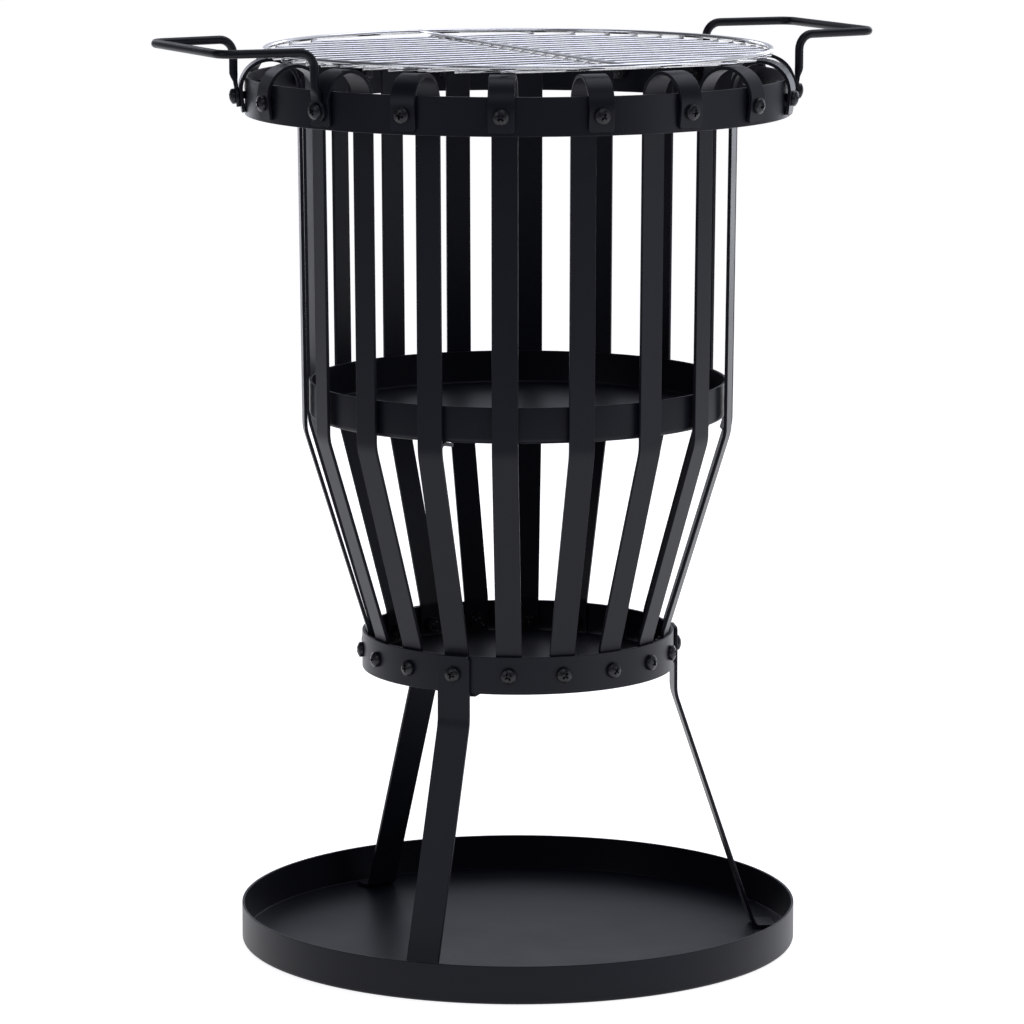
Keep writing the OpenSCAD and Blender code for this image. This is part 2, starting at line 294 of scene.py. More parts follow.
def make_piece(node, body, slot, finish, points, faces, edge=0.0, mirror=False):
    mesh = bpy.data.meshes.new(node + "_piece")
    mesh.from_pydata(points, [], faces)
    mesh.materials.append(finish)
    piece = bpy.data.objects.new(node + "_piece", mesh)
    bpy.context.collection.objects.link(piece)
    if edge:
        mesh.shade_smooth()
        bevel = piece.modifiers.new("rounded_edges", "BEVEL")
        bevel.width = edge
        bevel.segments = 2
        bevel.limit_method = "ANGLE"
        bevel.angle_limit = SHARP_ANGLE
        bevel.use_clamp_overlap = False
        bevel.harden_normals = True
    else:
        mesh.set_sharp_from_angle(angle=SHARP_ANGLE)
    if mirror:
        other_half = piece.modifiers.new("other_half", "MIRROR")
        other_half.use_axis = (False, True, False)
        other_half.merge_threshold = 0.02 * MM
    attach(piece, body)
    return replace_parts(piece, node)


# %% [markdown]
# ## Spinning a profile
# The tray, the dish, the rings and the screw heads are all round. Each is a flat outline
# turned about an axis. Blender has a Screw modifier for this, but a short function
# gives clean quads, closes on the axis without a hole, and can stop part of the way round.

# %% Spin a closed outline
AXIS_LIMIT = 1e-7


def spin(outline, steps=240, start=0.0, sweep=360.0):
    full = sweep >= 360
    count = steps if full else steps + 1
    points = []
    rows = []
    for radius, height in outline:
        if radius < AXIS_LIMIT:
            rows.append([len(points)] * count)
            points.append(Vector((0, 0, height)))
            continue
        rows.append(list(range(len(points), len(points) + count)))
        for k in range(count):
            points.append(outward(start + sweep * k / steps) * radius + UP * height)
    faces = []
    for a, b in zip(rows, rows[1:] + rows[:1]):
        if a[0] == a[-1] and b[0] == b[-1]:
            continue
        for k in range(steps):
            after = (k + 1) % count
            corners = [a[k], a[after], b[after], b[k]]
            faces.append(list(dict.fromkeys(corners)))
    if not full:
        faces.append([row[0] for row in rows])
        faces.append([row[-1] for row in reversed(rows)])
    return points, faces


def arc(centre, radius, first, last, steps=6):
    """Points of an arc in an outline, from one angle to another, counted from +radius."""
    turns = [math.radians(first + (last - first) * k / steps) for k in range(steps + 1)]
    return [(centre[0] + radius * math.cos(t), centre[1] + radius * math.sin(t)) for t in turns]


print("an outline can be spun")

# %% [markdown]
# ## The ash tray and the fire dish
# Both are pressed from one sheet: a flat floor, a small bend and an upright wall. The outline
# goes out along the underside, round the bend and up the wall, and comes back
# one sheet thickness inside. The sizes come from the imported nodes.

# %% Ash tray, fire dish and floor plate
SHEET = 1.5 * MM


def pan(node, body, bend):
    low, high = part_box(node)
    radius = high.x
    corner = (radius - bend, low.z + bend)
    outline = [(0, low.z)] + arc(corner, bend, -90, 0)
    outline += [(radius, high.z), (radius - SHEET, high.z)]
    outline += arc(corner, bend - SHEET, 0, -90) + [(0, low.z + SHEET)]
    points, faces = spin(outline)
    return make_piece(node, body, "black_sheet", black_sheet, points, faces, 0.3 * MM)


ash_tray = pan("ash_tray", "tray", 2 * MM)
fire_dish = pan("fire_dish", "dish", 3 * MM)

plate_low, plate_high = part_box("floor_plate")
plate_outline = [(0, plate_low.z), (plate_high.x, plate_low.z),
                 (plate_high.x, plate_high.z), (0, plate_high.z)]
floor_plate = make_piece("floor_plate", "basket", "black_sheet", black_sheet,
                         *spin(plate_outline), 0.3 * MM)
print("pans:", ash_tray.name, fire_dish.name, floor_plate.name)

# %% [markdown]
# ## The two rings
# Each ring is flat bar rolled into a hoop, 22 mm high and 2 mm thick. The lower hoop's inner
# end overlaps beside the front leg and hangs a little low, with its corner
# clipped. The rings carry all the screws.

# %% Rings and the lower ring's lapped end
RING_THICK = 2 * MM


def ring(node):
    low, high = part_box(node)
    outline = [(high.x - RING_THICK, low.z), (high.x, low.z),
               (high.x, high.z), (high.x - RING_THICK, high.z)]
    points, faces = spin(outline, 360)
    return make_piece(node, "basket", "black_bar", black_bar, points, faces, 0.35 * MM)


lower_ring = ring("lower_ring")
top_ring = ring("top_ring")

LAP_GAP = 0.05 * MM
LAP_START = -44.9
LAP_SWEEP = 4.6
LAP_CLIP = 3.4 * MM
LAP_CLIP_RISE = 2.2 * MM
lap_low, lap_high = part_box("lower_ring_lap")
lap_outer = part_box("lower_ring")[1].x - RING_THICK - LAP_GAP
lap_outline = [(lap_outer - RING_THICK, lap_low.z), (lap_outer, lap_low.z),
               (lap_outer, lap_high.z), (lap_outer - RING_THICK, lap_high.z)]
lap_points, lap_faces = spin(lap_outline, 12, LAP_START, LAP_SWEEP)
for point in lap_points:
    if point.z < lap_low.z + 0.1 * MM:
        direction = Vector((point.x, point.y, 0)).normalized()
        beside = (direction - outward(LAP_START + LAP_SWEEP)).length * lap_outer
        point.z += max(0, LAP_CLIP - beside) * LAP_CLIP_RISE / LAP_CLIP
lower_ring_lap = make_piece("lower_ring_lap", "basket", "black_bar", black_bar,
                            lap_points, lap_faces, 0.3 * MM)
print("rings:", lower_ring.name, top_ring.name, lower_ring_lap.name)

# %% [markdown]
# ## Bending flat bar
# A bar is easiest to draw from the side, as a centre line with corners. Each corner becomes an
# arc, as the bender's roller makes it, and every point of the line also keeps its heading,
# counted from straight up towards outward. The bar's two faces then lie half a thickness to
# each side of that line.

# %% Centre line of a bent bar
BEND_STEP = 5


def heading(a, b):
    return math.degrees(math.atan2(b[0] - a[0], b[1] - a[1]))


def step_along(point, degrees, length):
    turn = math.radians(degrees)
    return (point[0] + length * math.sin(turn), point[1] + length * math.cos(turn))


def step_aside(point, degrees, length):
    turn = math.radians(degrees)
    return (point[0] + length * math.cos(turn), point[1] - length * math.sin(turn))


def bend(start, first, last, radius):
    """Places along an arc that leaves start at one heading and ends at another."""
    side = math.copysign(1, last - first)
    count = max(3, math.ceil(abs(last - first) / BEND_STEP))
    centre = step_aside(start, first, side * radius)
    headings = [first + (last - first) * k / count for k in range(count + 1)]
    return [(*step_aside(centre, h, -side * radius), h) for h in headings]


def bent_line(corners, radii):
    line = [(*corners[0], heading(corners[0], corners[1]))]
    for before, corner, after, radius in zip(corners, corners[1:], corners[2:], radii):
        first, last = heading(before, corner), heading(corner, after)
        tangent = radius * math.tan(math.radians(abs(last - first)) / 2)
        line += bend(step_along(corner, first, -tangent), first, last, radius)
    return line


print("a 90 degree bend has", len(bend((0, 0), 0, 90, 0.01)), "places")

# %% [markdown]
# ## From the centre line to a bar
# The line is cut into short lengths and a rectangle is carried along it. A cut end has rounded
# corners, so near such an end the rectangle narrows along a quarter circle. No two hand-bent
# bars are alike either, so each gets a slight twist that fades out at its screws.

# %% Carry a rectangle along the line
END_STEPS = 5


def with_rounded_ends(line, corner, start):
    """Adds places near the ends, and gives each its distance to the nearest rounded end."""
    extra = [corner * (1 - math.cos(math.pi / 2 * k / END_STEPS)) for k in range(END_STEPS + 1)]
    first, last = line[0], line[-1]
    if start:
        line = [(*step_along(first, first[2], d), first[2]) for d in extra] + line[1:]
    line = line[:-1] + [(*step_along(last, last[2], -d), last[2]) for d in reversed(extra)]
    far = 10 * corner
    starts = extra if start else []
    reach = starts + [far] * (len(line) - len(starts) - len(extra)) + extra[::-1]
    return [(*place, d) for place, d in zip(line, reach)]


def bar_mesh(line, width, thick, degrees, corner, start=True, twist=None):
    points = []
    faces = []
    for radius, height, turn, reach in with_rounded_ends(line, corner, start):
        half = width / 2
        if reach < corner:
            half += math.sqrt(corner ** 2 - (corner - reach) ** 2) - corner
        lean = twist(height) if twist else 0
        for aside, along in ((1, -1), (1, 1), (-1, 1), (-1, -1)):
            r, z = step_aside((radius, height), turn, aside * thick / 2 + lean * along * half)
            points.append(outward(degrees) * r + sideways(degrees) * (along * half) + UP * z)
    for k in range(0, len(points) - 4, 4):
        for a, b in ((0, 1), (1, 2), (2, 3), (3, 0)):
            faces.append([k + a, k + b, k + b + 4, k + a + 4])
    faces.append([3, 2, 1, 0])
    faces.append([len(points) - 4 + k for k in range(4)])
    return points, faces


print("a bar's end corner has", END_STEPS, "steps")

# %% [markdown]
# ## The eighteen strips
# Seen from the side a strip starts with a short ledge under the floor plate, goes up through
# the lower ring, leans outward, stands up again at the dish, and ends in a hook over the top
# ring. The hook's tip leans back until it touches the ring. The corners below are that side
# view, and one loop turns it round the axis.

# %% Strips
STRIP_WIDE = 15 * MM
STRIP_THICK = 2 * MM
STRIP_INNER = 89.14 * MM
FOOT_LEDGE = 8 * MM
FOOT_LEDGE_Z = 167 * MM
FLARE_Z = 189 * MM
KNEE = (125.9 * MM, 309 * MM)
NECK = (127.9 * MM, 508.9 * MM)
HOOK_RADIUS = 17.1 * MM
HOOK_LEAN = 7
TIP_LENGTH = 11.4 * MM
CORNER_ROUND = 3 * MM
UPRIGHT_STEP = 60 * MM
MOST_TWIST = 1.2

side_view = [(STRIP_INNER - FOOT_LEDGE, FOOT_LEDGE_Z), (STRIP_INNER, FOOT_LEDGE_Z),
             (STRIP_INNER, FLARE_Z), KNEE, NECK]
side_radii = [3 * MM, 12 * MM, 25 * MM]
hook = bend(NECK, heading(KNEE, NECK), 180 + HOOK_LEAN, HOOK_RADIUS)
hook_end = hook[-1]
hook_tip = (*step_along(hook_end, hook_end[2], TIP_LENGTH), hook_end[2])
strip_line = bent_line(side_view, side_radii)
strip_line += [(*step_along(KNEE, heading(KNEE, NECK), UPRIGHT_STEP * k), heading(KNEE, NECK))
               for k in (1, 2, 3)]
strip_line += hook + [hook_tip]


def hand_twist(amount):
    """A slight twist that is greatest half way up and gone at both screws."""
    low, high = FLARE_Z, NECK[1]

    def twist(height):
        share = min(max((height - low) / (high - low), 0), 1)
        return amount * math.sin(math.pi * share) ** 2

    return twist


strips = []
for number in range(1, BAR_COUNT + 1):
    twist = hand_twist(math.radians(random.uniform(-MOST_TWIST, MOST_TWIST)))
    points, faces = bar_mesh(strip_line, STRIP_WIDE, STRIP_THICK, bar_angle(number),
                             CORNER_ROUND, twist=twist)
    strips.append(make_piece(f"strip_{number:02d}", "basket", "black_bar", black_bar,
                             points, faces, 0.32 * MM))
print(len(strips), "strips of", len(strips[0].data.vertices), "points each")

# %% [markdown]
# ## Legs and dish ledges
# A leg is a wider bar on the outside of the lower ring: upright behind its screw, splayed
# below it, with a foot that lies flat on the tray. The dish's three ledges are short bars welded
# inside the leg strips, which turn inward and slope down a little. Both are the same bent line
# with other corners.

# %% Legs and ledges
LEG_STRIPS = {"front": 3, "right": 9, "back": 15}
LEG_WIDE = 20 * MM
LEG_THICK = 2 * MM
LEG_OUT = 93.55 * MM
LEG_TOP_Z = 187 * MM
LEG_KNEE_Z = 147 * MM
FOOT = (142.3 * MM, 2.8 * MM)
FOOT_LONG = 13.2 * MM

leg_corners = [(FOOT[0] + FOOT_LONG, FOOT[1]), FOOT, (LEG_OUT, LEG_KNEE_Z), (LEG_OUT, LEG_TOP_Z)]
leg_line = bent_line(leg_corners, [4 * MM, 25 * MM]) + [(LEG_OUT, LEG_TOP_Z, 0)]

LEDGE_TOP = 315.5 * MM
LEDGE_WIDE = 12 * MM
LEDGE_BEND = 5 * MM
LEDGE_REACH = 20 * MM
LEDGE_UPRIGHT = 12 * MM
LEDGE_SLOPE = 12
WELD_GAP = 0.2 * MM
flare = heading(side_view[2], KNEE)


def inside_the_flare(height):
    """How far out a bar's middle lies when it is laid against the inside of a leaning strip."""
    outside = STRIP_INNER + (height - FLARE_Z) * math.tan(math.radians(flare))
    return outside - (STRIP_THICK + WELD_GAP) / math.cos(math.radians(flare))


lean_in = math.radians(flare)
ledge_turn = math.radians(90 + LEDGE_SLOPE + flare)
corner_rise = math.tan(ledge_turn / 2) * math.cos(lean_in) - math.sin(lean_in) - 1
ledge_z = LEDGE_TOP - STRIP_THICK / 2 + LEDGE_BEND * corner_rise
ledge_start = ledge_z - LEDGE_UPRIGHT
ledge_out = inside_the_flare(ledge_z)
ledge_drop = LEDGE_REACH * math.tan(math.radians(LEDGE_SLOPE))
ledge_corners = [(inside_the_flare(ledge_start), ledge_start), (ledge_out, ledge_z),
                 (ledge_out - LEDGE_REACH, ledge_z - ledge_drop)]
ledge_line = bent_line(ledge_corners, [LEDGE_BEND])
ledge_line.append((*ledge_corners[2], -90 - LEDGE_SLOPE))

for name, number in LEG_STRIPS.items():
    points, faces = bar_mesh(leg_line, LEG_WIDE, LEG_THICK, bar_angle(number), CORNER_ROUND)
    make_piece("leg_" + name, "basket", "black_bar", black_bar, points, faces, 0.35 * MM)
    points, faces = bar_mesh(ledge_line, LEDGE_WIDE, STRIP_THICK, bar_angle(number),
                             1.5 * MM, start=False)
    make_piece("dish_ledge_" + name, "basket", "black_bar", black_bar, points, faces, 0.3 * MM)
print("legs and ledges at", [bar_angle(number) for number in LEG_STRIPS.values()], "degrees")

# %% [markdown]
# ## Carrying a section along a wire
# A wire could be a Blender curve with a bevel depth, but a handle's ends are hammered flat, so
# its section has to change along the way. Each place of the wire therefore has two half
# widths and a squareness: 2 gives an ellipse, and more gives a flattened bar.

# %% Sweep a changing section
def section(across, beside, thick, wide, square, count):
    loop = []
    for k in range(count):
        turn = math.tau * k / count
        c, s = math.cos(turn), math.sin(turn)
        loop.append(across * (thick * math.copysign(abs(c) ** (2 / square), c))
                    + beside * (wide * math.copysign(abs(s) ** (2 / square), s)))
    return loop


def sweep(places, across, count, closed=False, open_end=False):
    """places are (centre, half thickness, half width, squareness); across starts the frame."""
    centres = [place[0] for place in places]
    points = []
    faces = []
    last = len(places) - 1
    for k, (centre, thick, wide, square) in enumerate(places):
        before = centres[k - 1] if k or closed else centre
        after = centres[(k + 1) % len(centres)] if k < last or closed else centre
        ahead = (after - before).normalized()
        across = (across - ahead * across.dot(ahead)).normalized()
        beside = ahead.cross(across)
        points += [centre + p for p in section(across, beside, thick, wide, square, count)]
    for k in range(last + 1 if closed else last):
        low, high = k * count, ((k + 1) % (last + 1)) * count
        for j in range(count):
            n = (j + 1) % count
            faces.append([low + j, low + n, high + n, high + j])
    if not closed:
        faces.append(list(range(count - 1, -1, -1)))
        if not open_end:
            faces.append(list(range(last * count, (last + 1) * count)))
    return points, faces


def wire_bend(corner, before, after, radius, steps=8):
    """Points of the arc that replaces a corner between two directions."""
    turn = before.angle(after)
    tangent = radius * math.tan(turn / 2)
    inward = (after - before).normalized()
    centre = corner + inward * (radius / math.cos(turn / 2))
    start = corner - before * tangent - centre
    axis = before.cross(after).normalized()
    return [centre + Matrix.Rotation(turn * k / steps, 3, axis) @ start
            for k in range(steps + 1)]


print("a section can be swept")

# %% [markdown]
# ## The two wire handles
# Each handle is one 5 mm wire. Its ends are hammered into flat eyes that sit under two screws
# of the top ring. From the eyes it goes up, bends outward, runs to the grip and comes back the
# same way, so half of it is drawn and a Mirror modifier adds the rest.

# %% Handles
HANDLE_WIRE = 5 * MM
EYE_THICK = 2.5 * MM
EYE_ROUND = 6.25 * MM
EYE_NECK = 3.2 * MM
SCREW_OUT = 161.75 * MM
TOP_SCREW_Z = 505 * MM
UPRIGHT = (156.13 * MM, 56.83 * MM)
HANDLE_Z = 537.5 * MM
GRIP_OUT = 210 * MM
GRIP_HALF = 50.5 * MM
HANDLE_BEND = 9 * MM
HANDLE_SIDES = 24
EYE_STEPS = 10
NECK_STEPS = 5
EYE_LONG = 7.5 * MM
FOOT_RISE = 13 * MM


def handle(node, side):
    """Half of a handle, from its eye to the middle of the grip; side is +1 or -1 along X."""
    lean = math.radians(HOOK_LEAN)
    turned = math.radians(BAR_PITCH)
    out = Vector((side * math.cos(turned), math.sin(turned), 0))
    face = out * math.cos(lean) - UP * math.sin(lean)
    rise = out * math.sin(lean) + UP * math.cos(lean)
    eye = (out * SCREW_OUT + UP * TOP_SCREW_Z
           + face * (STRIP_THICK / 2 + EYE_THICK / 2 + 0.05 * MM))
    places = []
    for k in range(EYE_STEPS + 1):
        turn = math.pi * (0.04 + 0.76 * k / EYE_STEPS)
        half_wide = EYE_ROUND * math.sin(turn)
        places.append((eye - rise * (EYE_ROUND * math.cos(turn)), EYE_THICK / 2,
                       max(half_wide, EYE_NECK), 5))
    foot = Vector((side * UPRIGHT[0], UPRIGHT[1], TOP_SCREW_Z + FOOT_RISE))
    flat_end = eye + rise * EYE_LONG
    for k in range(1, NECK_STEPS + 1):
        share = k / NECK_STEPS
        smooth = share * share * (3 - 2 * share)
        places.append((flat_end.lerp(foot, share),
                       (EYE_THICK + (HANDLE_WIRE - EYE_THICK) * smooth) / 2,
                       EYE_NECK + (HANDLE_WIRE / 2 - EYE_NECK) * smooth, 5 - 3 * smooth))
    shoulder = Vector((foot.x, foot.y, HANDLE_Z))
    corner = Vector((side * GRIP_OUT, GRIP_HALF, HANDLE_Z))
    arm = (corner - shoulder).normalized()
    grip = Vector((0, -1, 0))
    path = wire_bend(shoulder, UP, arm, HANDLE_BEND) + wire_bend(corner, arm, grip, HANDLE_BEND)
    path += [Vector((corner.x, y, HANDLE_Z)) for y in (GRIP_HALF / 2, 0)]
    places += [(point, HANDLE_WIRE / 2, HANDLE_WIRE / 2, 2) for point in path]
    points, faces = sweep(places, face, HANDLE_SIDES, open_end=True)
    for point in points[-HANDLE_SIDES:]:
        point.y = 0
    return make_piece(node, "basket", "black_wire", black_wire, points, faces, mirror=True)


handle_right = handle("handle_right", 1)
handle_left = handle("handle_left", -1)
print("handles:", handle_left.name, handle_right.name)

# %% [markdown]
# ## The grate
# A welded grate is a rim of wire with eighteen thin bars laid under it, and one wire across
# them, not quite square, to stop them bowing. Each crossing is a spot weld, where both wires
# sink together and a little metal creeps out. The welds are small flattened beads, and each bar
# is a trace out of true, because a plated grate is never perfectly even.

# %% Rim, bars, cross wire and welds
RIM_WIRE = 2.8 * MM
BAR_WIRE = 2.2 * MM
BARS_PITCH = 15 * MM
BARS_EACH_SIDE = 9
CROSS_TURN = -2.5
RIM_STEPS = 240
RIM_SIDES = 16
BAR_SIDES = 12
BOW_STEPS = 12
MOST_DRIFT = 0.45
MOST_BOW = 0.5
BAR_OVER = 0.4 * MM
WELD_IN = 0.3 * MM
WELD_LIFT = 0.1 * MM
CROSS_SHORT = 1.3 * MM
WIRE_TIP = ((0, 0.45), (0.08, 0.8), (0.25, 1))

rim_low, rim_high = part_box("grate_rim")
rim_radius = rim_high.x - RIM_WIRE / 2
rim_z = (rim_low.z + rim_high.z) / 2
bars_low, bars_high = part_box("grate_bars")
bars_z = (bars_low.z + bars_high.z) / 2
along_bars = sideways(0)
across_bars = -outward(0)
cross_line = -outward(CROSS_TURN)

rim_places = []
for k in range(RIM_STEPS):
    rim_places.append((outward(360 * k / RIM_STEPS) * rim_radius + UP * rim_z,
                       RIM_WIRE / 2, RIM_WIRE / 2, 2))
make_piece("grate_rim", "grate", "chrome_wire", plating,
           *sweep(rim_places, UP, RIM_SIDES, closed=True))


def wire_between(start, end, width, bow):
    """A straight wire with softly rounded ends and a slight bow to one side."""
    ahead = (end - start).normalized()
    beside = UP.cross(ahead)
    length = (end - start).length
    places = []
    for inset, share in WIRE_TIP:
        places.append((start + ahead * (inset * width), share * width / 2, share * width / 2, 2))
    for k in range(1, BOW_STEPS):
        bowed = beside * (bow * math.sin(math.pi * k / BOW_STEPS))
        places.append((start + ahead * (length * k / BOW_STEPS) + bowed,
                       width / 2, width / 2, 2))
    for inset, share in reversed(WIRE_TIP):
        places.append((end - ahead * (inset * width), share * width / 2, share * width / 2, 2))
    return sweep(places, UP, BAR_SIDES)


def bead(centre, along, long, wide, tall):
    """A weld: a small ball, drawn out along one wire and flattened."""
    beside = UP.cross(along)
    points = [centre - UP * tall]
    faces = []
    rows, count = 4, 8
    for row in range(1, rows):
        level = math.pi * row / rows
        for k in range(count):
            turn = math.tau * k / count
            points.append(centre + along * (long * math.sin(level) * math.cos(turn))
                          + beside * (wide * math.sin(level) * math.sin(turn))
                          - UP * (tall * math.cos(level)))
    points.append(centre + UP * tall)
    top = len(points) - 1
    for k in range(count):
        n = (k + 1) % count
        faces.append([0, 1 + n, 1 + k])
        for row in range(rows - 2):
            a = 1 + row * count
            faces.append([a + k, a + n, a + count + n, a + count + k])
        faces.append([top, top - count + k, top - count + n])
    return points, faces


def join(parts):
    points = []
    faces = []
    for more_points, more_faces in parts:
        faces += [[index + len(points) for index in face] for face in more_faces]
        points += more_points
    return points, faces


parts = []
weld_z = (rim_z + bars_z) / 2 + WELD_LIFT
for side in (-1, 1):
    for k in range(BARS_EACH_SIDE):
        offset = side * (k + 0.5) * BARS_PITCH + random.uniform(-MOST_DRIFT, MOST_DRIFT) * MM
        half = math.sqrt(rim_radius ** 2 - offset ** 2)
        middle = across_bars * offset + UP * bars_z
        reach = along_bars * (half + BAR_OVER)
        parts.append(wire_between(middle - reach, middle + reach, BAR_WIRE,
                                  random.uniform(-MOST_BOW, MOST_BOW) * MM))
        for end in (-1, 1):
            spot = across_bars * offset + along_bars * (end * (half - WELD_IN)) + UP * weld_z
            parts.append(bead(spot, spot.normalized().cross(UP), 1.9 * MM, 1.1 * MM, 0.75 * MM))
        crossing = cross_line * (offset / cross_line.dot(across_bars)) + UP * weld_z
        parts.append(bead(crossing, cross_line, 1.5 * MM, 1.1 * MM, 0.6 * MM))
make_piece("grate_bars", "grate", "chrome_wire", plating, *join(parts))

cross_half = rim_radius - CROSS_SHORT
cross_start, cross_end = (cross_line * (end * cross_half) + UP * rim_z for end in (-1, 1))
parts = [wire_between(cross_start, cross_end, RIM_WIRE, 0)]
for end in (cross_start, cross_end):
    parts.append(bead(end, along_bars, 1.7 * MM, 1.2 * MM, 1.1 * MM))
make_piece("grate_cross_wire", "grate", "chrome_wire", plating, *join(parts))
print("grate of", 2 * BARS_EACH_SIDE, "bars, rim radius", round(rim_radius, 4))

# %% [markdown]
# ## One screw and one nut
# The screws are M5 with small pan heads and a cross recess. The head is a spun dome, and a
# Boolean modifier cuts the tapered cross, because its crisp walls are what makes it read as a
# screw. The thread is a cylinder whose radius rises and falls along a helix. The nut is a
# hexagon whose corners are turned off by a cone. All are made once and then copied.

# %% Screw and nut shapes
HEAD_ROUND = 9 * MM
HEAD_TALL = 3.5 * MM
SHANK = 5 * MM
THREAD_PITCH = 0.8 * MM
NUT_FLATS = 8 * MM
NUT_TALL = 4 * MM
NUT_BORE = 2.6 * MM
NUT_TURNED = 0.55 * MM
NUT_EDGE = 0.5 * MM
RECESS_DEEP = 1.9 * MM
GROOVE = 0.36 * MM
THREAD_CHAMFER = 0.6 * MM
HAIR = 0.001 * MM


def scratch_object(name, points, faces):
    mesh = bpy.data.meshes.new(name)
    mesh.from_pydata(points, [], faces)
    made = bpy.data.objects.new(name, mesh)
    bpy.context.collection.objects.link(made)
    return made


def cut(base, tool, operation):
    """The base mesh after a Boolean with the tool; both scratch objects are then removed."""
    step = base.modifiers.new("cut", "BOOLEAN")
    step.operation = operation
    step.solver = "EXACT"
    step.object = tool
    bpy.context.view_layer.update()
    result = base.evaluated_get(bpy.context.evaluated_depsgraph_get()).to_mesh()
    points = [v.co.copy() for v in result.vertices]
    faces = [list(f.vertices) for f in result.polygons]
    for done in (base, tool):
        bpy.data.objects.remove(done)
    return points, faces


def prism(sides, radius, low, high):
    points = []
    for level in (low, high):
        for k in range(sides):
            angle = math.tau * k / sides
            points.append(Vector((radius * math.cos(angle), radius * math.sin(angle), level)))
    faces = [[k, (k + 1) % sides, sides + (k + 1) % sides, sides + k] for k in range(sides)]
    return points, faces + [list(range(sides - 1, -1, -1)), list(range(sides, 2 * sides))]


def cross_tool():
    """Two crossed tapered wedges, wider at the top, that cut the recess."""
    deep = HEAD_TALL - RECESS_DEEP
    wedges = []
    for turn in (0, math.pi / 2):
        spin_it = Matrix.Rotation(turn, 3, "Z")
        points = []
        for level, reach, half in ((deep, 1.1, 0.45), (HEAD_TALL + 1 * MM, 3.2, 0.72)):
            for x, y in ((-1, -1), (1, -1), (1, 1), (-1, 1)):
                points.append(spin_it @ Vector((x * reach * MM, y * half * MM, level)))
        faces = [[3, 2, 1, 0], [4, 5, 6, 7]]
        faces += [[k, (k + 1) % 4, 4 + (k + 1) % 4, 4 + k] for k in range(4)]
        wedges.append((points, faces))
    return wedges


def screw_head():
    dome = HEAD_TALL * 0.45
    sphere = ((HEAD_ROUND / 2) ** 2 + dome ** 2) / (2 * dome)
    tilt = math.degrees(math.asin(HEAD_ROUND / 2 / sphere))
    rim = [(HEAD_ROUND / 2 - 0.3 * MM, 0), (HEAD_ROUND / 2, 0.3 * MM)]
    top = arc((0, HEAD_TALL - sphere), sphere, 90 - tilt * 0.94, 90, 8)
    outline = [(0, 0)] + rim + [(HEAD_ROUND / 2, HEAD_TALL - dome - 0.2 * MM)] + top[:-1]
    points, faces = spin(outline + [(0, HEAD_TALL)], 40)
    for wedge in cross_tool():
        points, faces = cut(scratch_object("head", points, faces),
                            scratch_object("wedge", *wedge), "DIFFERENCE")
    return points, faces


def threaded_shank(length, count=12, rows_per_turn=6):
    rows = round(length / THREAD_PITCH * rows_per_turn)
    points = []
    for row in range(rows + 1):
        z = -length + length * row / rows
        chamfer = max(0, THREAD_CHAMFER - (z + length))
        for k in range(count):
            phase = ((z / THREAD_PITCH) + k / count) % 1
            groove = GROOVE * abs(2 * phase - 1)
            radius = min(SHANK / 2 - groove, SHANK / 2 - chamfer)
            angle = math.tau * k / count
            points.append(Vector((radius * math.cos(angle), radius * math.sin(angle), z)))
    faces = []
    for row in range(rows):
        for k in range(count):
            n = (k + 1) % count
            faces.append([row * count + k, row * count + n,
                          (row + 1) * count + n, (row + 1) * count + k])
    faces += [list(range(count - 1, -1, -1)), list(range(rows * count, (rows + 1) * count))]
    return points, faces


def hex_nut():
    corner = NUT_FLATS / 2 / math.cos(math.pi / 6)
    small, wide = corner - NUT_TURNED, corner + 0.02 * MM
    cone_outline = [(0, -HAIR), (small, -HAIR), (wide, NUT_EDGE), (wide, NUT_TALL - NUT_EDGE),
                    (small, NUT_TALL + HAIR), (0, NUT_TALL + HAIR)]
    body = cut(scratch_object("hexagon", *prism(6, corner, 0, NUT_TALL)),
               scratch_object("cone", *spin(cone_outline, 48)), "INTERSECT")
    bore = prism(24, NUT_BORE, -1 * MM, NUT_TALL + 1 * MM)
    return cut(scratch_object("nut", *body), scratch_object("bore", *bore), "DIFFERENCE")


head = screw_head()
nut = hex_nut()
print("a head has", len(head[1]), "faces and a nut has", len(nut[1]))

# %% [markdown]
# ## Screws and nuts in their places
# Screws of one group are one node, so their copies are joined into one mesh. Each copy is
# turned at random about its own axis, because nobody lines up the crosses. The top screws
# lean with the tips of the hooks; the lower ones point straight out.

# %% Put the fasteners in
HANDLE_STRIPS = (18, 2, 9, 11)
SEAT = 0.05 * MM
LOW_SCREW_Z = 176 * MM
STRIP_FACE = 90.14 * MM
TOP_RING_INNER = 157.5 * MM
TOP_NUT_DROP = SCREW_OUT - TOP_RING_INNER + NUT_TALL + 0.9 * MM


def screw_place(number, out, height, lean, lift):
    """A matrix that stands +Z along the screw's axis, head end outward."""
    tilt = math.radians(lean)
    axis = outward(bar_angle(number)) * math.cos(tilt) - UP * math.sin(tilt)
    beside = sideways(bar_angle(number))
    above = axis.cross(beside)
    spot = outward(bar_angle(number)) * out + UP * height + axis * lift
    turned = Matrix((beside, above, axis)).transposed()
    spun = Matrix.Rotation(random.uniform(0, 6), 4, "Z")
    return Matrix.Translation(spot) @ turned.to_4x4() @ spun


def low_place(number, out):
    return screw_place(number, out, LOW_SCREW_Z, 0, 0)


def top_place(number, lift):
    return screw_place(number, SCREW_OUT, TOP_SCREW_Z, HOOK_LEAN, lift)


def fasteners(node, shape, places):
    copies = [([matrix @ point for point in shape[0]], shape[1]) for matrix in places]
    return make_piece(node, "basket", "black_fastener", blackened, *join(copies))


def screw(length):
    return join([head, threaded_shank(length)])


